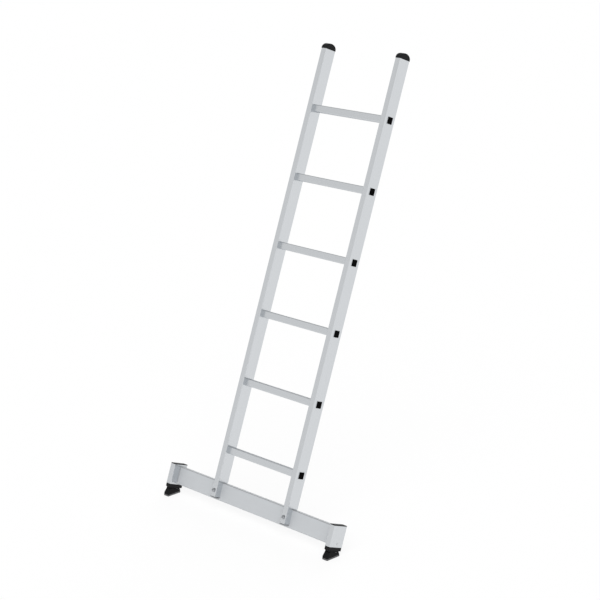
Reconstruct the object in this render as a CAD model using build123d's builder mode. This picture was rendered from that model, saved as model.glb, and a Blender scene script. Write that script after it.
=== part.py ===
from build123d import *
import os
from math import atan, cos, degrees, radians, sin, tan

# A single section ladder that leans at its working angle. Its stiles are bolted to a wide crossbar,
# and a foot tube at each end of the crossbar stands on a foot whose shoe tilts both ways.

# Driving dimensions, in millimetres and degrees

# Ladder
lean_angle = 20.0  # from the vertical
ladder_width = 418.0  # over the stiles' outer faces
rung_count = 6
rung_pitch = 280.0
first_rung_rise = 135.0  # from the crossbar's top to the lowest rung's centre
stile_head = 238.4  # from the highest rung's centre to the stile's end

# Stiles
stile_width = 25.0
stile_depth = 58.0
stile_wall = 2.0
stile_corner = 3.5
stile_end_rise = 13.2  # from the crossbar's underside to the stile's lower end
notch_gap = 1.2  # over the crossbar, in the notch that takes it

# Rungs
rung_side = 28.0
rung_wall = 1.4
rung_corner = 3.0
rung_play = 0.1  # between a rung and the edge of its hole
rim_width = 1.5  # the end of a rung is rolled over its hole
rim_thickness = 0.8
bead_width = 3.0  # a pressed bead holds the rung against the stile's inner face
bead_height = 0.8
tread_count = 5  # grooves along the top of a rung
tread_pitch = 4.0
tread_width = 1.4
tread_depth = 0.7

# Plastic plugs and caps
rung_plug_spigot = 16.0
rung_plug_flange = 0.8  # thickness over the end of the rung
rung_plug_inset = 0.3  # of the flange, inside the rung's outline
rung_plug_round = 0.4
plug_wall = 2.5
plug_corner = 2.5
cap_skirt = 3.5  # straight part of a top cap, below its arch
cap_arch = 21.0
cap_lip = 0.8  # how far a top cap overhangs its stile
cap_spigot = 32.0
stile_plug_flange = 3.0
stile_plug_spigot = 12.0
foot_cap_flange = 2.8
foot_cap_spigot = 14.0

# Crossbar and foot tubes
base_width = 925.0  # over the foot tubes' outer faces
crossbar_height = 72.3
crossbar_depth = 28.0
crossbar_wall = 2.0
crossbar_corner = 3.0
foot_tube_width = 25.0
foot_tube_depth = 73.0
foot_tube_wall = 2.0
foot_tube_corner = 4.0
foot_tube_drop = 2.1  # below the crossbar's underside
foot_tube_rise = 7.8  # above the crossbar's top
weld_leg = 2.5
weld_edge = 0.4  # thickness of a weld seam where it runs out on the crossbar

# Bolts through the stiles and the crossbar
bolt_rise = 38.2  # above the crossbar's underside
bolt_radius = 4.0
bolt_play = 0.3
bolt_head_radius = 7.0
bolt_head_height = 4.4
bolt_head_round = 3.6
socket_width = 5.0  # across the flats
socket_depth = 3.2
washer_radius = 8.5
washer_thickness = 1.6
nut_width = 13.0  # across the flats
nut_height = 8.0
nut_collar_height = 1.6
bolt_tail = 2.0  # length that shows past the nut
sleeve_radius = 7.0

# Feet, along the foot tube's axis
foot_height = 42.6  # from the floor to the tube's end
flange_thickness = 14.2
flange_inset = 0.5  # inside the tube's outline
flange_round = 1.5
foot_gap = 3.5  # between the flange and the shoe
neck_width = 20.0
neck_front_reach = 32.0  # ahead of the tube's axis
neck_rear_reach = 27.5
neck_corner = 3.0
neck_dip = 0.2  # depth of the neck in the shoe's channel
insert_spigot = 26.0
insert_wall = 3.0
rivet_radius = 2.0
rivet_play = 0.1
rivet_head_radius = 4.0
rivet_head_height = 1.2
rivet_bulb_radius = 3.0
rivet_bulb_length = 3.5
rivet_rise = 13.0  # above the tube's end
rivet_offset = 4.5  # behind the tube's axis

# Tilt joint of a foot
tongue_width = 10.0
tongue_depth = 8.0
pivot_radius = 2.0
running_play = 0.05  # between a pin or trunnion and its bore
block_width = 18.0
block_length = 18.0
block_height = 7.0
block_window = 12.0
block_corner = 1.5
block_play = 0.3  # between the tongue and the block's cheeks
pin_recess = 0.2
trunnion_radius = 2.0
trunnion_length = 3.0
trunnion_end_play = 0.5
roll_limit = 5.0
block_floor_gap = 0.6  # below the block when it has rolled to its limit

# Shoe and sole
shoe_width = 27.0
shoe_floor = 1.5
shoe_play = 0.5  # between the block's ends and the shoe
channel_play = 1.2  # beside the neck, in the channel along the shoe's top
channel_depth = 4.1
toe_reach = 32.7  # ahead of the origin
heel_reach = 33.2
toe_height = 10.8
brow_reach = 14.9  # where the toe's slope meets the shoe's top
shoe_round = 3.0
shoe_edge = 2.0
toe_corner = 4.5
sole_thickness = 6.8
sole_margin = 0.5
sole_chamfer = 0.8
sole_groove_count = 6
sole_groove_pitch = 9.0
sole_groove_width = 3.0
sole_groove_depth = 1.5
screw_radius = 2.0
screw_play = 0.2
screw_head_radius = 3.6
screw_head_height = 1.6
screw_head_play = 0.5
screw_ledge = 2.2  # thickness of the sole under a screw's head
screw_grip = 5.5  # length of a screw in the shoe
screw_socket_width = 2.5
toe_screw_reach = 22.0
heel_screw_reach = 22.0

least_corner = 0.5  # smallest rounding left inside a thick tube

# Places worked out from the driving dimensions

# In the ladder's own frame x runs along the rungs, y squarely to the rear from the middle of the stiles'
# depth, and z up the stiles. Its origin is on the floor, where the foot tubes' axes meet it.
lean = radians(lean_angle)
ladder = Plane(origin=(0, 0, 0), x_dir=(1, 0, 0), z_dir=(0, sin(lean), cos(lean)))
stile_axis = Axis((0, 0, 0), tuple(ladder.z_dir))

crossbar_bottom = foot_height + foot_tube_drop
crossbar_top = crossbar_bottom + crossbar_height
crossbar_rear = stile_depth / 2
crossbar_front = crossbar_rear - crossbar_depth
crossbar_middle = (crossbar_front + crossbar_rear) / 2
foot_tube_top = crossbar_top + foot_tube_rise
stile_bottom = crossbar_bottom + stile_end_rise
notch_top = crossbar_top + notch_gap
rung_heights = [crossbar_top + first_rung_rise + rung_pitch * step for step in range(rung_count)]
stile_top = rung_heights[-1] + stile_head
bolt_height = crossbar_bottom + bolt_rise

stile_x = (ladder_width - stile_width) / 2
rung_end = ladder_width / 2 + rim_thickness
stile_inner_face = ladder_width / 2 - stile_width
foot_x = (base_width - foot_tube_width) / 2
foot_tube_inner_face = base_width / 2 - foot_tube_width

rung_bore = rung_side - 2 * rung_wall
flange_bottom = foot_height - flange_thickness
shoe_top = flange_bottom - foot_gap
neck_bottom = shoe_top - neck_dip
neck_length = neck_front_reach + neck_rear_reach
neck_middle = (neck_rear_reach - neck_front_reach) / 2
channel_floor = shoe_top - channel_depth
channel_width = neck_width + 2 * channel_play
pocket_floor = sole_thickness + shoe_floor
block_drop = block_width / 2 * sin(radians(roll_limit)) + block_floor_gap
pivot_height = (pocket_floor + block_drop) / cos(lean) + block_length / 2 * tan(lean) + block_height / 2
pocket_reach = block_length / 2 + shoe_play
trunnion_reach = block_length / 2 + trunnion_length
toe_flat = shoe_width - 2 * toe_corner  # straight part of the toe, seen from above
sole_width = shoe_width + 2 * sole_margin
sole_length = toe_reach + heel_reach + 2 * sole_margin
foot_middle = (heel_reach - toe_reach) / 2
screw_reaches = (-toe_screw_reach, heel_screw_reach)

sides = {"left": -1, "right": 1}


# Planes and outlines that several pieces share


def cross_plane(x, y, z):
    """Plane square to the stiles: its x runs along the rungs, its y to the rear."""
    return Plane(origin=ladder.from_local_coords((x, y, z)), x_dir=ladder.x_dir, z_dir=ladder.z_dir)


def side_plane(x, y, z):
    """Plane square to the rungs: its x runs to the rear, its y up the stiles."""
    return Plane(origin=ladder.from_local_coords((x, y, z)), x_dir=ladder.y_dir, z_dir=ladder.x_dir)


def front_plane(x, y, z):
    """Plane that faces the climber: its x runs along the rungs, its y up the stiles."""
    return Plane(origin=ladder.from_local_coords((x, y, z)), x_dir=ladder.x_dir, z_dir=-ladder.y_dir)


def upright_point(y, z):
    """A point of the ladder's frame as its distance to the rear and its height over the floor."""
    return (y * cos(lean) + z * sin(lean), z * cos(lean) - y * sin(lean))


def rise_to(y, height):
    """How far up the ladder's frame a line at y reaches a height over the floor."""
    return (height + y * sin(lean)) / cos(lean)


def shoe_top_at(reach):
    """Height of the shoe's sloping top over the floor, at a distance behind the origin."""
    return (shoe_top - reach * sin(lean)) / cos(lean)


def inner_corner(corner, wall):
    """Rounding inside a tube's corner."""
    return max(corner - wall, least_corner)


def tube_section(width, depth, corner, wall):
    """Section of a rectangular tube with rounded corners."""
    RectangleRounded(width, depth, corner)
    hollow = (width - 2 * wall, depth - 2 * wall)
    RectangleRounded(*hollow, inner_corner(corner, wall), mode=Mode.SUBTRACT)


def spigot_section(width, depth, wall):
    """Section of a hollow plastic plug with easy corners."""
    RectangleRounded(width, depth, plug_corner)
    hollow = (width - 2 * wall, depth - 2 * wall)
    RectangleRounded(*hollow, inner_corner(plug_corner, wall), mode=Mode.SUBTRACT)


def save(piece, name):
    """Names a finished piece and writes it."""
    piece.part.label = name
    export_step(piece.part, f"parts/{name}.step")


# Ladder


def make_stile(side):
    x = side * stile_x
    with BuildPart() as stile:
        with BuildSketch(cross_plane(x, 0, stile_bottom)):
            tube_section(stile_width, stile_depth, stile_corner, stile_wall)
        extrude(amount=stile_top - stile_bottom)
        # The lower rear half is cut away for the crossbar.
        with BuildSketch(side_plane(x, crossbar_middle, (stile_bottom + notch_top) / 2)):
            Rectangle(crossbar_depth, notch_top - stile_bottom)
        extrude(amount=stile_width / 2, both=True, mode=Mode.SUBTRACT)
        with BuildSketch(side_plane(x, 0, 0)):
            with Locations(*[(0, height) for height in rung_heights]):
                hole_side = rung_side + 2 * rung_play
                RectangleRounded(hole_side, hole_side, rung_corner + rung_play)
        extrude(amount=stile_width / 2, both=True, mode=Mode.SUBTRACT)
        with BuildSketch(front_plane(x, -stile_depth / 2, bolt_height)):
            Circle(bolt_radius + bolt_play)
        extrude(amount=-stile_wall, mode=Mode.SUBTRACT)
    return stile


def make_rung(height):
    with BuildPart() as rung:
        with BuildSketch(side_plane(-rung_end, 0, height)):
            tube_section(rung_side, rung_side, rung_corner, rung_wall)
        extrude(amount=2 * rung_end)
        for side in sides.values():
            with BuildSketch(side_plane(side * ladder_width / 2, 0, height)):
                rim_side = rung_side + 2 * rim_width
                RectangleRounded(rim_side, rim_side, rung_corner + rim_width)
                RectangleRounded(rung_side, rung_side, rung_corner, mode=Mode.SUBTRACT)
            extrude(amount=side * rim_thickness)
            with BuildSketch(side_plane(side * stile_inner_face, 0, height)):
                bead_side = rung_side + 2 * bead_height
                RectangleRounded(bead_side, bead_side, rung_corner + bead_height)
                RectangleRounded(rung_side, rung_side, rung_corner, mode=Mode.SUBTRACT)
            extrude(amount=-side * bead_width)
        # Grooves on top keep a boot from slipping.
        tread_end = stile_inner_face - bead_width
        with BuildSketch(side_plane(-tread_end, 0, height + rung_side / 2)):
            with GridLocations(tread_pitch, 0, tread_count, 1):
                Rectangle(tread_width, 2 * tread_depth)
        extrude(amount=2 * tread_end, mode=Mode.SUBTRACT)
    return rung


def make_rung_plug(side, height):
    flange_side = rung_side - 2 * rung_plug_inset
    with BuildPart() as plug:
        with BuildSketch(side_plane(side * rung_end, 0, height)):
            RectangleRounded(flange_side, flange_side, plug_corner)
        extrude(amount=side * rung_plug_flange)
        outer_face = plug.faces().sort_by(Axis.X)[-1 if side > 0 else 0]
        fillet(outer_face.edges(), rung_plug_round)
        with BuildSketch(side_plane(side * rung_end, 0, height)):
            spigot_section(rung_bore, rung_bore, plug_wall)
        extrude(amount=-side * rung_plug_spigot)
    return plug


def make_top_cap(side):
    x = side * stile_x
    with BuildPart() as cap:
        with BuildSketch(side_plane(x - stile_width / 2 - cap_lip, 0, stile_top)):
            with BuildLine():
                half_depth = stile_depth / 2 + cap_lip
                Line((-half_depth, 0), (-half_depth, cap_skirt))
                EllipticalCenterArc((0, cap_skirt), half_depth, cap_arch, start_angle=0, arc_size=180)
                Line((half_depth, cap_skirt), (half_depth, 0))
                Line((half_depth, 0), (-half_depth, 0))
            make_face()
        extrude(amount=stile_width + 2 * cap_lip)
        cheeks = cap.faces().sort_by(Axis.X)
        for cheek in (cheeks[0], cheeks[-1]):
            fillet(cheek.edges().sort_by(stile_axis)[1:], stile_corner)
        with BuildSketch(cross_plane(x, 0, stile_top)):
            spigot_section(stile_width - 2 * stile_wall, stile_depth - 2 * stile_wall, plug_wall)
        extrude(amount=-cap_spigot)
    return cap


def make_stile_plug(side):
    x = side * stile_x
    inner_front = -stile_depth / 2 + stile_wall
    spigot_middle = (inner_front + crossbar_front) / 2
    with BuildPart() as plug:
        with BuildSketch(cross_plane(x, 0, stile_bottom)):
            RectangleRounded(stile_width, stile_depth, stile_corner)
            with Locations((0, crossbar_middle)):
                Rectangle(stile_width, crossbar_depth, mode=Mode.SUBTRACT)
        extrude(amount=-stile_plug_flange)
        with BuildSketch(cross_plane(x, spigot_middle, stile_bottom)):
            spigot_section(stile_width - 2 * stile_wall, crossbar_front - inner_front, plug_wall)
        extrude(amount=stile_plug_spigot)
    return plug


# Crossbar and foot tubes


def make_crossbar():
    middle_height = (crossbar_bottom + crossbar_top) / 2
    with BuildPart() as crossbar:
        with BuildSketch(side_plane(-foot_tube_inner_face, crossbar_middle, middle_height)):
            tube_section(crossbar_depth, crossbar_height, crossbar_corner, crossbar_wall)
        extrude(amount=2 * foot_tube_inner_face)
        with BuildSketch(front_plane(0, crossbar_front, bolt_height)):
            with GridLocations(2 * stile_x, 0, 2, 1):
                Circle(bolt_radius + bolt_play)
        extrude(amount=-crossbar_depth, mode=Mode.SUBTRACT)
    return crossbar


def make_weld(side):
    """Seam round the crossbar's front, top and rear where it meets a foot tube."""
    middle_height = (crossbar_bottom + crossbar_top) / 2
    seam_plane = side_plane(side * foot_tube_inner_face, crossbar_middle, middle_height)
    with BuildPart() as weld:
        with BuildSketch(seam_plane):
            outline = (crossbar_depth + 2 * weld_leg, crossbar_height + 2 * weld_leg)
            RectangleRounded(*outline, crossbar_corner + weld_leg)
        extrude(amount=-side * weld_leg, taper=degrees(atan((weld_leg - weld_edge) / weld_leg)))
        with BuildSketch(seam_plane):
            RectangleRounded(crossbar_depth, crossbar_height, crossbar_corner)
            with Locations((0, -(crossbar_height + weld_leg) / 2)):
                Rectangle(crossbar_depth + 2 * weld_leg, weld_leg + 2 * crossbar_corner)
        extrude(amount=-side * weld_leg, mode=Mode.SUBTRACT)
    return weld


def make_foot_tube(side):
    x = side * foot_x
    with BuildPart() as foot_tube:
        with BuildSketch(cross_plane(x, 0, foot_height)):
            tube_section(foot_tube_width, foot_tube_depth, foot_tube_corner, foot_tube_wall)
        extrude(amount=foot_tube_top - foot_height)
        with BuildSketch(side_plane(side * base_width / 2, rivet_offset, foot_height + rivet_rise)):
            Circle(rivet_radius + rivet_play)
        extrude(amount=-side * foot_tube_wall, mode=Mode.SUBTRACT)
    return foot_tube


def make_foot_tube_cap(side):
    x = side * foot_x
    with BuildPart() as cap:
        with BuildSketch(cross_plane(x, 0, foot_tube_top)):
            RectangleRounded(foot_tube_width, foot_tube_depth, foot_tube_corner)
        extrude(amount=foot_cap_flange)
        fillet(cap.faces().sort_by(stile_axis)[-1].edges(), foot_cap_flange / 2)
        with BuildSketch(cross_plane(x, 0, foot_tube_top)):
            bore = (foot_tube_width - 2 * foot_tube_wall, foot_tube_depth - 2 * foot_tube_wall)
            spigot_section(*bore, plug_wall)
        extrude(amount=-foot_cap_spigot)
    return cap


# Bolts, one through each stile


def make_bolts():
    seat = stile_depth / 2 + washer_thickness
    tail = stile_depth / 2 + washer_thickness + nut_height + bolt_tail
    with BuildPart() as bolts:
        with BuildSketch(front_plane(0, -seat, bolt_height)):
            with GridLocations(2 * stile_x, 0, 2, 1):
                Circle(bolt_head_radius)
        extrude(amount=bolt_head_height)
        head_front = bolts.faces().group_by(Axis((0, 0, 0), tuple(ladder.y_dir)))[0]
        fillet(head_front.edges(), bolt_head_round)
        with BuildSketch(front_plane(0, -seat - bolt_head_height, bolt_height)):
            with GridLocations(2 * stile_x, 0, 2, 1):
                RegularPolygon(socket_width / 2, 6, major_radius=False)
        extrude(amount=-socket_depth, mode=Mode.SUBTRACT)
        with BuildSketch(front_plane(0, -seat, bolt_height)):
            with GridLocations(2 * stile_x, 0, 2, 1):
                Circle(bolt_radius)
        extrude(amount=-(seat + tail))
    return bolts


def make_washers():
    """One washer under each head and one under each nut."""
    with BuildPart() as washers:
        for face_y in (-stile_depth / 2, stile_depth / 2 + washer_thickness):
            with BuildSketch(front_plane(0, face_y, bolt_height)):
                with GridLocations(2 * stile_x, 0, 2, 1):
                    Circle(washer_radius)
                    Circle(bolt_radius + bolt_play, mode=Mode.SUBTRACT)
            extrude(amount=washer_thickness)
    return washers


def make_nuts():
    """Lock nuts: a hexagon with a round collar behind it."""
    seat = stile_depth / 2 + washer_thickness
    with BuildPart() as nuts:
        with BuildSketch(front_plane(0, seat, bolt_height)):
            with GridLocations(2 * stile_x, 0, 2, 1):
                RegularPolygon(nut_width / 2, 6, major_radius=False)
                Circle(bolt_radius, mode=Mode.SUBTRACT)
        extrude(amount=-(nut_height - nut_collar_height))
        with BuildSketch(front_plane(0, seat + nut_height - nut_collar_height, bolt_height)):
            with GridLocations(2 * stile_x, 0, 2, 1):
                Circle(nut_width / 2)
                Circle(bolt_radius, mode=Mode.SUBTRACT)
        extrude(amount=-nut_collar_height)
    return nuts


def make_sleeves(front_y, rear_y):
    """Spacer sleeves round the bolts, between two walls."""
    with BuildPart() as sleeves:
        with BuildSketch(front_plane(0, rear_y, bolt_height)):
            with GridLocations(2 * stile_x, 0, 2, 1):
                Circle(sleeve_radius)
                Circle(bolt_radius + bolt_play, mode=Mode.SUBTRACT)
        extrude(amount=rear_y - front_y)
    return sleeves


# Feet


def make_foot_insert(side):
    """Collar under a foot tube, with a spigot in the tube, a neck and a tongue that carries the shoe."""
    x = side * foot_x
    bore = (foot_tube_width - 2 * foot_tube_wall, foot_tube_depth - 2 * foot_tube_wall)
    flange = (foot_tube_width - 2 * flange_inset, foot_tube_depth - 2 * flange_inset)
    with BuildPart() as insert:
        with BuildSketch(cross_plane(x, 0, flange_bottom)):
            RectangleRounded(*flange, foot_tube_corner)
        extrude(amount=flange_thickness)
        fillet(insert.faces().sort_by(stile_axis)[0].edges(), flange_round)
        with BuildSketch(cross_plane(x, neck_middle, neck_bottom)):
            RectangleRounded(neck_width, neck_length, neck_corner)
        extrude(amount=flange_bottom - neck_bottom)
        with BuildSketch(cross_plane(x, 0, foot_height)):
            spigot_section(*bore, insert_wall)
        extrude(amount=insert_spigot)
        with BuildSketch(side_plane(x, 0, pivot_height)):
            Circle(tongue_depth / 2)
            tongue_length = neck_bottom - pivot_height
            with Locations((0, tongue_length / 2)):
                Rectangle(tongue_depth, tongue_length)
            Circle(pivot_radius + running_play, mode=Mode.SUBTRACT)
        extrude(amount=tongue_width / 2, both=True)
        with BuildSketch(side_plane(x + side * bore[0] / 2, rivet_offset, foot_height + rivet_rise)):
            Circle(rivet_radius + rivet_play)
        extrude(amount=-side * insert_wall, mode=Mode.SUBTRACT)
    return insert


def make_foot_rivets():
    """One blind rivet through the outer wall of each foot tube and its insert."""
    grip = foot_tube_wall + insert_wall
    with BuildPart() as rivets:
        for side in sides.values():
            face_x = side * base_width / 2
            rivet_place = (rivet_offset, foot_height + rivet_rise)
            with BuildSketch(side_plane(face_x, *rivet_place)):
                Circle(rivet_head_radius)
            head = extrude(amount=side * rivet_head_height)
            rim = head.edges().group_by(Axis.X)[-1 if side > 0 else 0]
            fillet(rim, rivet_head_height / 2)
            with BuildSketch(side_plane(face_x, *rivet_place)):
                Circle(rivet_radius)
            extrude(amount=-side * grip)
            with BuildSketch(side_plane(face_x - side * grip, *rivet_place)):
                Circle(rivet_bulb_radius)
            extrude(amount=-side * rivet_bulb_length)
    return rivets


def make_tilt_block(side):
    """Block that swings on the tongue's pin and carries the shoe on its two trunnions."""
    x = side * foot_x
    with BuildPart() as block:
        with BuildSketch(cross_plane(x, 0, pivot_height - block_height / 2)):
            RectangleRounded(block_width, block_length, block_corner)
            Rectangle(tongue_width + 2 * block_play, block_window, mode=Mode.SUBTRACT)
        extrude(amount=block_height)
        for end in (-1, 1):
            with BuildSketch(front_plane(x, end * block_length / 2, pivot_height)):
                Circle(trunnion_radius)
            extrude(amount=-end * trunnion_length)
        with BuildSketch(side_plane(x, 0, pivot_height)):
            Circle(pivot_radius)
        extrude(amount=block_width / 2, both=True, mode=Mode.SUBTRACT)
    return block


def make_pivot_pin(side):
    with BuildPart() as pin:
        with BuildSketch(side_plane(side * foot_x, 0, pivot_height)):
            Circle(pivot_radius)
        extrude(amount=block_width / 2 - pin_recess, both=True)
    return pin


def make_shoe(side):
    """Wedge shaped shoe: its sole is level, its top square to the foot tube."""
    x = side * foot_x
    with BuildPart() as shoe:
        with BuildSketch(Plane.YZ.offset(x)) as profile:
            with BuildLine():
                Polyline(
                    (-toe_reach, sole_thickness),
                    (-toe_reach, toe_height),
                    (-brow_reach, shoe_top_at(-brow_reach)),
                    (heel_reach, shoe_top_at(heel_reach)),
                    (heel_reach, sole_thickness),
                    close=True,
                )
            make_face()
            fillet(profile.vertices().sort_by(Axis.Y)[-3:], shoe_round)
        extrude(amount=shoe_width / 2, both=True)
        # The lowest edge of each flank, along the sole, stays sharp.
        for flank in shoe.faces().filter_by(Axis.X):
            fillet(flank.edges().sort_by(Axis.Z)[1:], shoe_edge)
        # The toe's corners are cut round, seen from above.
        with BuildSketch(Plane.XY.offset(sole_thickness)):
            with Locations((x, -toe_reach)):
                Rectangle(2 * shoe_width, 2 * toe_corner)
                Rectangle(toe_flat, 2 * toe_corner, mode=Mode.SUBTRACT)
            with Locations((x, toe_corner - toe_reach)):
                with GridLocations(toe_flat, 0, 2, 1):
                    Circle(toe_corner, mode=Mode.SUBTRACT)
        extrude(amount=foot_height, mode=Mode.SUBTRACT)
        # A channel along the top leaves room for the neck when the shoe tilts.
        with BuildSketch(front_plane(x, sole_length, channel_floor + foot_height / 2)):
            Rectangle(channel_width, foot_height)
        extrude(amount=2 * sole_length, mode=Mode.SUBTRACT)
        # The pocket for the tilt joint opens upward along the foot tube, over a level floor.
        with BuildSketch(Plane.YZ.offset(x)):
            with BuildLine():
                Polyline(
                    upright_point(-pocket_reach, foot_height),
                    upright_point(-pocket_reach, rise_to(-pocket_reach, pocket_floor)),
                    upright_point(pocket_reach, rise_to(pocket_reach, pocket_floor)),
                    upright_point(pocket_reach, foot_height),
                    close=True,
                )
            make_face()
        extrude(amount=channel_width / 2, both=True, mode=Mode.SUBTRACT)
        bore_reach = trunnion_reach + trunnion_end_play
        with BuildSketch(front_plane(x, bore_reach, pivot_height)):
            Circle(trunnion_radius + running_play)
        extrude(amount=2 * bore_reach, mode=Mode.SUBTRACT)
        with BuildSketch(Plane.XY.offset(sole_thickness)):
            with Locations(*[(x, reach) for reach in screw_reaches]):
                Circle(screw_radius)
        extrude(amount=screw_grip, mode=Mode.SUBTRACT)
    return shoe


def make_sole(side):
    """Rubber sole with grooves across it and recesses for its screws."""
    x = side * foot_x
    with BuildPart() as sole:
        with BuildSketch(Plane.XY) as outline:
            with Locations((x, foot_middle)):
                Rectangle(sole_width, sole_length)
            fillet(outline.vertices().group_by(Axis.Y)[0], toe_corner)
            fillet(outline.vertices().group_by(Axis.Y)[-1], shoe_edge)
        extrude(amount=sole_thickness)
        chamfer(sole.faces().sort_by(Axis.Z)[0].edges(), sole_chamfer)
        with BuildSketch(Plane.XY):
            with Locations((x, foot_middle)):
                with GridLocations(0, sole_groove_pitch, 1, sole_groove_count):
                    Rectangle(2 * sole_width, sole_groove_width)
        extrude(amount=sole_groove_depth, mode=Mode.SUBTRACT)
        with BuildSketch(Plane.XY):
            with Locations(*[(x, reach) for reach in screw_reaches]):
                Circle(screw_head_radius + screw_head_play)
        extrude(amount=sole_thickness - screw_ledge, mode=Mode.SUBTRACT)
        with BuildSketch(Plane.XY):
            with Locations(*[(x, reach) for reach in screw_reaches]):
                Circle(screw_radius + screw_play)
        extrude(amount=sole_thickness, mode=Mode.SUBTRACT)
    return sole


def make_sole_screws(side):
    x = side * foot_x
    seat = sole_thickness - screw_ledge
    with BuildPart() as screws:
        with BuildSketch(Plane.XY.offset(seat)):
            with Locations(*[(x, reach) for reach in screw_reaches]):
                Circle(screw_head_radius)
        extrude(amount=-screw_head_height)
        with BuildSketch(Plane.XY.offset(seat)):
            with Locations(*[(x, reach) for reach in screw_reaches]):
                Circle(screw_radius)
        extrude(amount=screw_ledge + screw_grip)
        with BuildSketch(Plane.XY.offset(seat - screw_head_height)):
            with Locations(*[(x, reach) for reach in screw_reaches]):
                RegularPolygon(screw_socket_width / 2, 6, major_radius=False)
        extrude(amount=screw_head_height, mode=Mode.SUBTRACT)
    return screws


# Every piece, made and written

os.makedirs("parts", exist_ok=True)

for number, height in enumerate(rung_heights, start=1):
    save(make_rung(height), f"rung_{number}")
    for side_name, side in sides.items():
        save(make_rung_plug(side, height), f"{side_name}_rung_plug_{number}")

for side_name, side in sides.items():
    save(make_stile(side), f"{side_name}_stile")
    save(make_top_cap(side), f"{side_name}_top_cap")
    save(make_stile_plug(side), f"{side_name}_stile_plug")
    save(make_foot_tube(side), f"{side_name}_foot_tube")
    save(make_foot_tube_cap(side), f"{side_name}_foot_tube_cap")
    save(make_weld(side), f"{side_name}_weld")
    save(make_foot_insert(side), f"{side_name}_foot_insert")
    save(make_tilt_block(side), f"{side_name}_tilt_block")
    save(make_pivot_pin(side), f"{side_name}_pivot_pin")
    save(make_shoe(side), f"{side_name}_shoe")
    save(make_sole(side), f"{side_name}_sole")
    save(make_sole_screws(side), f"{side_name}_sole_screws")

save(make_crossbar(), "crossbar")
save(make_bolts(), "crossbar_bolts")
save(make_washers(), "bolt_washers")
save(make_nuts(), "bolt_nuts")
save(make_sleeves(-stile_depth / 2 + stile_wall, crossbar_front), "stile_sleeves")
save(make_sleeves(crossbar_front + crossbar_wall, crossbar_rear - crossbar_wall), "crossbar_sleeves")
save(make_foot_rivets(), "foot_rivets")
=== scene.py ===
"""Looks of the single section ladder: satin aluminium tubes with black moulded plugs, caps and feet."""

import math

import bmesh
import bpy
from mathutils import Matrix, Vector


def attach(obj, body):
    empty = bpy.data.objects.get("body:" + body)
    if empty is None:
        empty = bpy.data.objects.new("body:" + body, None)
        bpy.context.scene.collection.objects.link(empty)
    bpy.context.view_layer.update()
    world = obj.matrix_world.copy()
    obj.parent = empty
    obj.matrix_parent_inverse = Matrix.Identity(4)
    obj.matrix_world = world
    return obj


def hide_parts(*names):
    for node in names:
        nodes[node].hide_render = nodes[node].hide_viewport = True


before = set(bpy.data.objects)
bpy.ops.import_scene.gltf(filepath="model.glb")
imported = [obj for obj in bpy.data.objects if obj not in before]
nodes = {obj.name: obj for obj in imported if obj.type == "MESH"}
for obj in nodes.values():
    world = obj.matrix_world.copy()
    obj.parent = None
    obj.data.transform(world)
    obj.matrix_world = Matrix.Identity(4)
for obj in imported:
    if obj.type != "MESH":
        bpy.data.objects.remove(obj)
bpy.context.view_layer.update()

# Sizes of the ladder, in metres and degrees

lean_angle = 20.0
crossbar_corner = 0.003

# Sizes of the weld seams, in metres

seam_leg = 0.0025  # how far a weld seam spreads on the crossbar and on the foot tube
seam_edge = 0.0004  # thickness of a seam where it runs out on the crossbar
seam_bulge = 0.0003
seam_ripple = 0.00025
ripple_pitch = 0.0018
ripple_lag = 0.0011  # how far the middle of a ripple runs ahead of its ends
ripple_power = 0.6  # under 1, a ripple is broad at its crest and sharp in its valley
ripple_steps = 6
seam_profile_steps = 12
least_straight_steps = 2
least_corner_steps = 6
seam_sink = 0.0001  # how deep a seam's back lies in the tubes
seam_run_out = 0.003  # length over which a seam's end tapers
least_swell = 0.02  # square of the share of its size that a seam keeps at its very end

# Camera and studio

camera_place = (4.6926, -4.4213, 2.7329)
camera_aim = (0.0, 0.2894, 0.8548)
lens_length = 106.37  # millimetres, on a frame 36 mm wide
frame_width = 36.0
sight_limit = 300.0

floor_size = 120.0
floor_drop = 0.0003  # below the soles
floor_colour = (0.90, 0.90, 0.90, 1.0)
floor_glow = 0.84  # share of plain white in the floor as it is seen
wall_colour = (1.0, 1.0, 1.0, 1.0)
dim_side = Vector((-0.35, -0.92, 0.20)).normalized()  # the side of the studio in front of the ladder
dim_share = 0.15
dim_range = (-0.2, 1.0)  # cosines to that side where the walls start to dim and where they are dimmest
ceiling_share = 0.50  # how much darker the ceiling is than the walls
ceiling_range = (0.30, 0.80)  # cosines to the vertical where the ceiling starts and where it is darkest
fill_strength = 0.50
front_sun_strength = 2.40
front_sun_from = Vector((0.45, -0.62, 0.64))
front_sun_spread = 60.0
rear_sun_strength = 1.20
rear_sun_from = Vector((-0.40, 0.85, 0.30))
rear_sun_spread = 40.0

# Colours

upright_aluminium = (0.652, 0.673, 0.694)
rung_aluminium = (0.663, 0.686, 0.708)
matt_aluminium = (0.492, 0.509, 0.527)
weld_colour = (0.560, 0.575, 0.590)
zinc_colour = (0.470, 0.484, 0.505)
rivet_colour = (0.640, 0.650, 0.660)
plug_black = (0.0016, 0.0016, 0.0018)
cap_black = (0.0074, 0.0076, 0.0082)
end_grey = (0.1000, 0.1015, 0.1060)
shoe_black = (0.0060, 0.0061, 0.0065)
sole_grey = (0.1000, 0.1005, 0.1020)

# Marks in the finishes: densities to the metre, depths and radii in metres

corner_turn = (0.10, 0.45)  # parts of a normal where a tube's corner begins and where it is full
wear_turn = (0.02, 0.25)  # how far a rounded normal leaves the true one where wear begins and is full
wear_samples = 6

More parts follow.
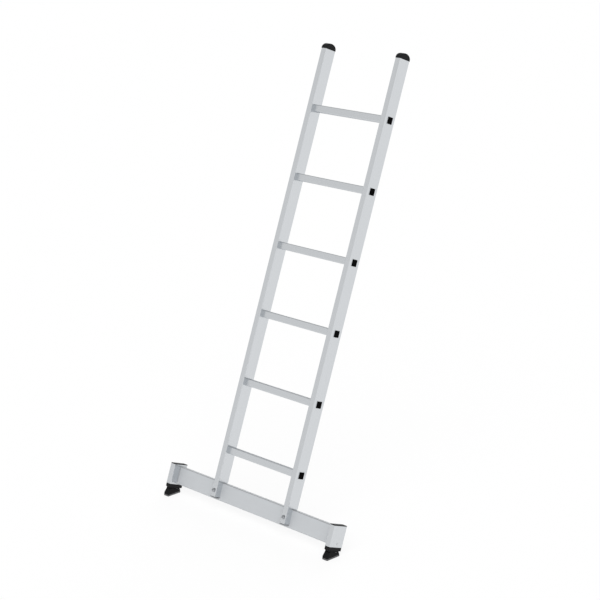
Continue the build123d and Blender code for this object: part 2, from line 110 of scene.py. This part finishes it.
die_lines_across = 1600.0
die_lines_along = 5.0
broad_line_scale = 7  # how many times larger the broad lines are than the fine ones
fine_line_height = 0.6  # share of the marks' depth
broad_line_height = 0.4
cloud_density = 9.0
scuff_density = (700.0, 700.0, 14.0)
scuff_slant = 0.6  # radians, away from the stiles' length
scuff_range = (0.70, 0.78)  # noise where a scuff begins and where it is full
scuff_hollow = 0.5  # share of the marks' depth
tube_tone = 0.955  # share of the colour before the marks lighten it
tube_lightening = 0.03
line_dulling = 0.10  # added to the roughness
cloud_dulling = 0.08
scuff_dulling = 0.12
tube_mark_depth = 0.00001
tube_sheen = (0.62, 0.63, 0.65, 1.0)  # tint of the mirrored light

weld_marks = [
    {"density": 1400.0, "detail": 3.0, "lightening": 0.12, "dulling": 0.14},
    {"density": 120.0, "detail": 2.0, "lightening": 0.16, "dulling": 0.14},
]
zinc_marks = [
    {"density": 900.0, "detail": 2.0, "lightening": 0.10, "dulling": 0.10},
    {"density": 160.0, "detail": 2.0, "lightening": 0.14, "dulling": 0.08},
]
rivet_marks = [
    {"density": 1100.0, "detail": 3.0, "lightening": 0.14, "dulling": 0.12},
]
metal_edge_radius = 0.0006

mould_grain_density = 1500.0
mould_grain_depth = 0.00004
mould_roughness = 0.40
mould_grain_dulling = 0.14
mould_cloud_density = 45.0
mould_cloud_dulling = 0.10
mould_cloud_share = 0.15  # how far the clouds go towards the paler colour
rubbed_radius = 0.0012
rubbed_range = (0.35, 0.75)  # clouds where the edges begin to be rubbed and where they are fully so
rubbed_paleness = 3  # how many times paler rubbed plastic is
rubbed_share = 0.6

rubber_grain_density = 800.0
rubber_grain_depth = 0.00008
rubber_roughness = 0.72
rubber_grain_dulling = 0.14
rubber_gloss = 0.25
dust_density = 70.0
dust_range = (0.45, 0.75)  # noise where the dust begins and where it is full
dust_paleness = 1.8  # how many times paler dusty rubber is
dust_share = 0.4
rubber_edge_radius = 0.0010
rubber_edge_share = 0.3


# Shading


class Socket:
    """An output of a shader node. Sums and products of sockets add the nodes that work them out."""

    def __init__(self, shading, output):
        self.shading = shading
        self.output = output

    def maths(self, operation, first, second):
        return self.shading.node("Math", {"operation": operation}, {0: first, 1: second})

    def __add__(self, other):
        return self.maths("ADD", self, other)

    def __sub__(self, other):
        return self.maths("SUBTRACT", self, other)

    def __rsub__(self, other):
        return self.maths("SUBTRACT", other, self)

    def __mul__(self, other):
        return self.maths("MULTIPLY", self, other)

    def __abs__(self):
        return self.shading.node("Math", {"operation": "ABSOLUTE"}, {0: self})

    __radd__ = __add__
    __rmul__ = __mul__

    def beside(self, name):
        """Another output of the same node."""
        return Socket(self.shading, self.output.node.outputs[name])

    def between(self, low, high):
        """0 below low, 1 above high, and a smooth rise between them."""
        limits = {"Value": self, "From Min": low, "From Max": high}
        return self.shading.node("MapRange", {"interpolation_type": "SMOOTHSTEP"}, limits)


class Shading:
    """The nodes of one material or of the world."""

    def __init__(self, owner):
        owner.use_nodes = True
        self.tree = owner.node_tree
        self.tree.nodes.clear()

    def node(self, kind, settings, inputs, output=0):
        """Adds a node, sets it up, and fills its inputs with values or links."""
        made = self.tree.nodes.new("ShaderNode" + kind)
        for name, value in settings.items():
            setattr(made, name, value)
        for name, value in inputs.items():
            if isinstance(value, Socket):
                self.tree.links.new(value.output, made.inputs[name])
            else:
                made.inputs[name].default_value = value
        if made.outputs:
            return Socket(self, made.outputs[output])
        return None

    def in_ladder_frame(self, vector):
        """A vector as measured along the rungs, to the rear and up the stiles."""
        turn = {"Vector": vector, "Angle": math.radians(lean_angle)}
        return self.node("VectorRotate", {"rotation_type": "X_AXIS"}, turn)

    def ladder_place(self):
        """Where a point lies in the ladder's frame."""
        return self.in_ladder_frame(self.node("TexCoord", {}, {}, "Object"))

    def top_corners(self):
        """1 on the rounded upper corners of a level tube, where the colour gets painted shade, and 0
        elsewhere.
        """
        normal = self.in_ladder_frame(self.node("NewGeometry", {}, {}, "Normal"))
        rearward = self.node("SeparateXYZ", {}, {"Vector": normal}, "Y")
        upward = rearward.beside("Z")
        return abs(rearward).between(*corner_turn) * upward.between(*corner_turn)

    def noise(self, place, density, detail=2.0):
        """Noise with so many marks to the metre along each axis."""
        stretched = self.node("VectorMath", {"operation": "MULTIPLY"}, {0: place, 1: density})
        return self.node("TexNoise", {}, {"Vector": stretched, "Scale": 1.0, "Detail": detail})

    def even_noise(self, place, density, detail=2.0):
        """Noise with the same density along all axes."""
        return self.noise(place, (density, density, density), detail)

    def worn_edges(self, radius):
        """1 on sharp edges and 0 on flat faces."""
        rounded = self.node("Bevel", {"samples": wear_samples}, {"Radius": radius})
        true_normal = self.node("NewGeometry", {}, {}, "Normal")
        facing = self.node("VectorMath", {"operation": "DOT_PRODUCT"}, {0: rounded, 1: true_normal}, "Value")
        return (1 - facing).between(*wear_turn)

    def toned(self, colour, tone):
        """A colour made lighter or darker over the surface."""
        return self.node("VectorMath", {"operation": "SCALE"}, {"Vector": colour, "Scale": tone})

    def mixed(self, share, first, second):
        """A colour that goes from the first to the second."""
        blend = {0: share, 6: (*first, 1.0), 7: (*second, 1.0)}
        return self.node("Mix", {"data_type": "RGBA"}, blend, 2)

    def bump(self, height, depth):
        """A normal for marks of that depth, in metres."""
        return self.node("Bump", {}, {"Height": height, "Strength": 1.0, "Distance": depth})

    def seen(self):
        """1 for rays from the camera and for reflected or refracted ones, 0 for scattered light."""
        camera_ray = self.node("LightPath", {}, {}, "Is Camera Ray")
        return camera_ray + camera_ray.beside("Is Glossy Ray") + camera_ray.beside("Is Transmission Ray")

    def surface(self, look):
        shader = self.node("BsdfPrincipled", {}, look)
        self.node("OutputMaterial", {}, {"Surface": shader})


def new_finish(name):
    material = bpy.data.materials.new(name)
    return material, Shading(material)


def drawn_aluminium(name, colour, grain, metal, roughness, corner_painted_shade):
    """Aluminium tube: fine lines from the die along it, faint clouds and scuffs, and painted shade on its
    top corners.
    """
    material, shading = new_finish(name)
    place = shading.ladder_place()
    fine_lines = shading.noise(place, grain, detail=3.0)
    broad_lines = shading.noise(place, [density / broad_line_scale for density in grain])
    clouds = shading.even_noise(place, cloud_density, detail=3.0)
    turn = {"Vector": place, "Angle": scuff_slant}
    slanted = shading.node("VectorRotate", {"rotation_type": "Y_AXIS"}, turn)
    scuffs = shading.noise(slanted, scuff_density).between(*scuff_range)
    tone = tube_tone + tube_lightening * (broad_lines + fine_lines + clouds)
    # Painted shade: the upper rounded corners of level tubes are darkened in the base colour, as if less
    # light fell on them
    painted_shade = corner_painted_shade * shading.top_corners()
    dulling = line_dulling * fine_lines + cloud_dulling * clouds + scuff_dulling * scuffs
    marks = fine_line_height * fine_lines + broad_line_height * broad_lines - scuff_hollow * scuffs
    shading.surface({
        "Base Color": shading.toned(colour, tone - painted_shade),
        "Metallic": metal,
        "Roughness": roughness + dulling,
        "Specular Tint": tube_sheen,
        "Normal": shading.bump(marks, tube_mark_depth),
    })
    return material


def grained_metal(name, colour, marks, tone, roughness, grain_depth, edge_lightening=0.0):
    """Bare or plated metal. The first of its marks is a fine grain that stands out, any other is a stain."""
    material, shading = new_finish(name)
    place = shading.ladder_place()
    noises = [shading.even_noise(place, mark["density"], mark["detail"]) for mark in marks]
    for mark, noise in zip(marks, noises):
        tone = tone + mark["lightening"] * noise
        roughness = roughness + mark["dulling"] * noise
    if edge_lightening > 0:
        tone = tone + edge_lightening * shading.worn_edges(metal_edge_radius)
    shading.surface({
        "Base Color": shading.toned(colour, tone),
        "Metallic": 1.0,
        "Roughness": roughness,
        "Normal": shading.bump(noises[0], grain_depth),
    })
    return material


def moulded_plastic(name, colour, gloss):
    """Moulded plastic with the fine grain of its mould, faint clouds, and paler rubbed edges."""
    material, shading = new_finish(name)
    place = shading.ladder_place()
    grain = shading.even_noise(place, mould_grain_density)
    clouds = shading.even_noise(place, mould_cloud_density, detail=3.0)
    rubbed = shading.worn_edges(rubbed_radius) * clouds.between(*rubbed_range)
    paler = [rubbed_paleness * channel for channel in colour]
    shading.surface({
        "Base Color": shading.mixed(rubbed * rubbed_share + clouds * mould_cloud_share, colour, paler),
        "Roughness": mould_roughness + mould_grain_dulling * grain + mould_cloud_dulling * clouds,
        "Specular IOR Level": gloss,
        "Normal": shading.bump(grain, mould_grain_depth),
    })
    return material


def sole_rubber():
    """Dark grey rubber, paler where it is dusty and on its edges."""
    material, shading = new_finish("sole_rubber")
    place = shading.ladder_place()
    grain = shading.even_noise(place, rubber_grain_density, detail=3.0)
    dust = shading.even_noise(place, dust_density, detail=3.0).between(*dust_range)
    edges = shading.worn_edges(rubber_edge_radius)
    paler = [dust_paleness * channel for channel in sole_grey]
    shading.surface({
        "Base Color": shading.mixed(dust * dust_share + edges * rubber_edge_share, sole_grey, paler),
        "Roughness": rubber_roughness + rubber_grain_dulling * grain,
        "Specular IOR Level": rubber_gloss,
        "Normal": shading.bump(grain, rubber_grain_depth),
    })
    return material


def floor_finish():
    """Pale floor that takes the ladder's shadow. Where it is seen, some of it is plain white."""
    material, shading = new_finish("studio_floor")
    matt = shading.node("BsdfDiffuse", {}, {"Color": floor_colour})
    glow = shading.node("Emission", {}, {"Color": wall_colour, "Strength": 1.0})
    both = shading.node("MixShader", {}, {0: floor_glow * shading.seen(), 1: matt, 2: glow})
    shading.node("OutputMaterial", {}, {"Surface": both})
    return material


# Places in the ladder's frame

ladder_frame = Matrix.Rotation(math.radians(lean_angle), 3, "X")


def ladder_span(node):
    """Lowest and highest corner of a CAD node in the ladder's frame."""
    corners = [ladder_frame @ vertex.co for vertex in nodes[node].data.vertices]
    low = Vector([min(corner[axis] for corner in corners) for axis in range(3)])
    high = Vector([max(corner[axis] for corner in corners) for axis in range(3)])
    return low, high


# Weld seams


def seam_line(low, high):
    """Points and outward directions along a seam: up the crossbar's front, over its top, down its rear."""
    front = low.y + crossbar_corner
    rear = high.y - crossbar_corner
    foot = low.z + crossbar_corner
    top = high.z - crossbar_corner
    step = ripple_pitch / ripple_steps
    points = []
    for rise in spaced(foot, top, step):
        points.append((low.y, rise, -1.0, 0.0))
    turn_steps = max(least_corner_steps, round(crossbar_corner * math.pi / 2 / step))
    for turn in range(1, turn_steps):
        angle = math.pi * (1 - 0.5 * turn / turn_steps)
        points.append(turned_point(front, top, angle))
    for reach in spaced(front, rear, step):
        points.append((reach, high.z, 0.0, 1.0))
    for turn in range(1, turn_steps):
        angle = math.pi * 0.5 * (1 - turn / turn_steps)
        points.append(turned_point(rear, top, angle))
    for fall in spaced(top, foot, step):
        points.append((high.y, fall, 1.0, 0.0))
    return points


def spaced(start, end, step):
    """Numbers from start to end, about a step apart."""
    count = max(least_straight_steps, round(abs(end - start) / step))
    return [start + (end - start) * index / count for index in range(count + 1)]


def turned_point(y, z, angle):
    """A point on a corner of the crossbar, round the corner's centre, and its outward direction."""
    across = math.cos(angle)
    up = math.sin(angle)
    return (y + crossbar_corner * across, z + crossbar_corner * up, across, up)


def seam_section(run, run_left):
    """Outline of a seam's section: distances from the foot tube and from the crossbar's face."""
    taper = min(1.0, min(run, run_left) / seam_run_out)
    swell = math.sqrt(max(least_swell, taper * (2 - taper)))
    outline = [(-seam_sink, -seam_sink)]
    for index in range(seam_profile_steps + 1):
        share = index / seam_profile_steps
        middle = math.sin(math.pi * share)
        phase = (run + ripple_lag * middle) / ripple_pitch
        crest = abs(math.sin(math.pi * phase)) ** ripple_power
        lift = (seam_bulge + seam_ripple * (crest - 0.5)) * middle * swell
        from_tube = seam_leg * share * swell + lift
        from_crossbar = (seam_leg * (1 - share) + seam_edge * share) * swell + lift
        outline.append((from_tube - seam_sink * (1 - share), from_crossbar - seam_sink * share))
    return outline


def make_seam(side_name, side):
    """A rippled weld seam in place of the plain one."""
    low, high = ladder_span("crossbar")
    tube_low, tube_high = ladder_span(f"{side_name}_foot_tube")
    tube_face = tube_high.x if side < 0 else tube_low.x
    line = seam_line(low, high)
    runs = [0.0]
    for before, after in zip(line, line[1:]):
        runs.append(runs[-1] + math.dist(before[:2], after[:2]))
    mesh = bmesh.new()
    rings = []
    for (y, z, across, up), run in zip(line, runs):
        ring = []
        for from_tube, from_crossbar in seam_section(run, runs[-1] - run):
            spot = Vector((tube_face - side * from_tube, y + across * from_crossbar, z + up * from_crossbar))
            ring.append(mesh.verts.new(ladder_frame.transposed() @ spot))
        rings.append(ring)
    count = len(rings[0])
    for ring, following in zip(rings, rings[1:]):
        for index in range(count):
            after = (index + 1) % count
            mesh.faces.new((ring[index], ring[after], following[after], following[index]))
    mesh.faces.new(rings[0])
    mesh.faces.new(list(reversed(rings[-1])))
    bmesh.ops.recalc_face_normals(mesh, faces=mesh.faces)
    for face in mesh.faces:
        face.smooth = True
    name = f"{side_name}_rippled_weld"
    data = bpy.data.meshes.new(name)
    mesh.to_mesh(data)
    mesh.free()
    seam = bpy.data.objects.new(name, data)
    bpy.context.scene.collection.objects.link(seam)
    seam.data.materials.append(weld_finish)
    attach(seam, "frame")
    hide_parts(f"{side_name}_weld")


# Finishes of the CAD pieces

upright_grain = (die_lines_across, die_lines_across, die_lines_along)
level_grain = (die_lines_along, die_lines_across, die_lines_across)
# The last argument sets how much painted shade darkens the top corners of the rungs and the crossbar
upright_finish = drawn_aluminium(
    "upright_aluminium", upright_aluminium, upright_grain, metal=1.0, roughness=0.10, corner_painted_shade=0.0)
rung_finish = drawn_aluminium(
    "rung_aluminium", rung_aluminium, level_grain, metal=1.0, roughness=0.19, corner_painted_shade=0.03)
crossbar_finish = drawn_aluminium(
    "crossbar_aluminium", matt_aluminium, level_grain, metal=0.25, roughness=0.42, corner_painted_shade=0.42)
weld_finish = grained_metal(
    "weld_metal", weld_colour, weld_marks, tone=0.86, roughness=0.26, grain_depth=0.00003)
zinc_finish = grained_metal(
    "zinc_plate", zinc_colour, zinc_marks, tone=0.84, roughness=0.24, grain_depth=0.00001,
    edge_lightening=0.10)
rivet_finish = grained_metal(
    "rivet_metal", rivet_colour, rivet_marks, tone=0.92, roughness=0.28, grain_depth=0.00002)
plug_finish = moulded_plastic("plug_plastic", plug_black, gloss=0.015)
cap_finish = moulded_plastic("cap_plastic", cap_black, gloss=0.12)
end_finish = moulded_plastic("end_plastic", end_grey, gloss=0.12)
shoe_finish = moulded_plastic("shoe_plastic", shoe_black, gloss=0.08)
sole_finish = sole_rubber()

finish_by_word = {
    "stile": upright_finish,
    "foot_tube": upright_finish,
    "rung": rung_finish,
    "crossbar": crossbar_finish,
    "weld": weld_finish,
    "rung_plug": plug_finish,
    "stile_plug": end_finish,
    "top_cap": cap_finish,
    "foot_tube_cap": cap_finish,
    "foot_insert": cap_finish,
    "tilt_block": cap_finish,
    "shoe": shoe_finish,
    "sole": sole_finish,
    "bolts": zinc_finish,
    "washers": zinc_finish,
    "nuts": zinc_finish,
    "sleeves": zinc_finish,
    "pivot_pin": zinc_finish,
    "screws": zinc_finish,
    "rivets": rivet_finish,
}


def dress(node, piece):
    """Gives a CAD piece the finish of the longest word that its name ends with."""
    plain_name = node.rstrip("0123456789_")
    words = [word for word in finish_by_word if plain_name.endswith(word)]
    finish = finish_by_word[max(words, key=len)]
    for slot in piece.material_slots:
        slot.material = finish


for node, piece in nodes.items():
    dress(node, piece)

for side_name, side in (("left", -1), ("right", 1)):
    make_seam(side_name, side)


# Studio


def make_floor():
    data = bpy.data.meshes.new("floor")
    half = floor_size / 2
    corners = [(-half, -half), (half, -half), (half, half), (-half, half)]
    data.from_pydata([(x, y, -floor_drop) for x, y in corners], [], [(0, 1, 2, 3)])
    floor = bpy.data.objects.new("floor", data)
    floor.data.materials.append(floor_finish())
    bpy.context.scene.collection.objects.link(floor)


def light_studio():
    """Two soft suns, an even fill, and white walls that are dimmer in front and overhead where mirrored."""
    world = bpy.data.worlds.new("studio")
    bpy.context.scene.world = world
    shading = Shading(world)
    direction = shading.node("TexCoord", {}, {}, "Generated")
    facing = shading.node("VectorMath", {"operation": "DOT_PRODUCT"}, {0: direction, 1: dim_side}, "Value")
    upward = shading.node("SeparateXYZ", {}, {"Vector": direction}, "Z")
    in_front = 1 - dim_share * facing.between(*dim_range)
    overhead = 1 - ceiling_share * upward.between(*ceiling_range)
    camera_ray = shading.node("LightPath", {}, {}, "Is Camera Ray")
    wall_strength = camera_ray + (1 - camera_ray) * in_front * overhead
    walls = shading.node("Background", {}, {"Color": wall_colour, "Strength": wall_strength})
    fill = shading.node("Background", {}, {"Color": wall_colour, "Strength": fill_strength})
    both = shading.node("MixShader", {}, {0: shading.seen(), 1: fill, 2: walls})
    shading.node("OutputWorld", {}, {"Surface": both})
    add_soft_sun("front_sun", front_sun_strength, front_sun_from, front_sun_spread)
    add_soft_sun("rear_sun", rear_sun_strength, rear_sun_from, rear_sun_spread)


def add_soft_sun(name, strength, light_from, spread):
    lamp = bpy.data.lights.new(name, "SUN")
    lamp.energy = strength
    lamp.angle = math.radians(spread)
    sun = bpy.data.objects.new(name, lamp)
    sun.rotation_mode = "QUATERNION"
    sun.rotation_quaternion = light_from.to_track_quat("Z", "Y")
    sun.visible_glossy = False
    bpy.context.scene.collection.objects.link(sun)


def set_camera():
    data = bpy.data.cameras.new("camera")
    data.sensor_width = frame_width
    data.lens = lens_length
    data.clip_end = sight_limit
    camera = bpy.data.objects.new("camera", data)
    camera.location = camera_place
    camera.rotation_mode = "QUATERNION"
    sight = Vector(camera_aim) - Vector(camera_place)
    camera.rotation_quaternion = sight.to_track_quat("-Z", "Y")
    bpy.context.scene.collection.objects.link(camera)
    bpy.context.scene.camera = camera


make_floor()
light_studio()
set_camera()
bpy.context.scene.view_settings.view_transform = "Standard"
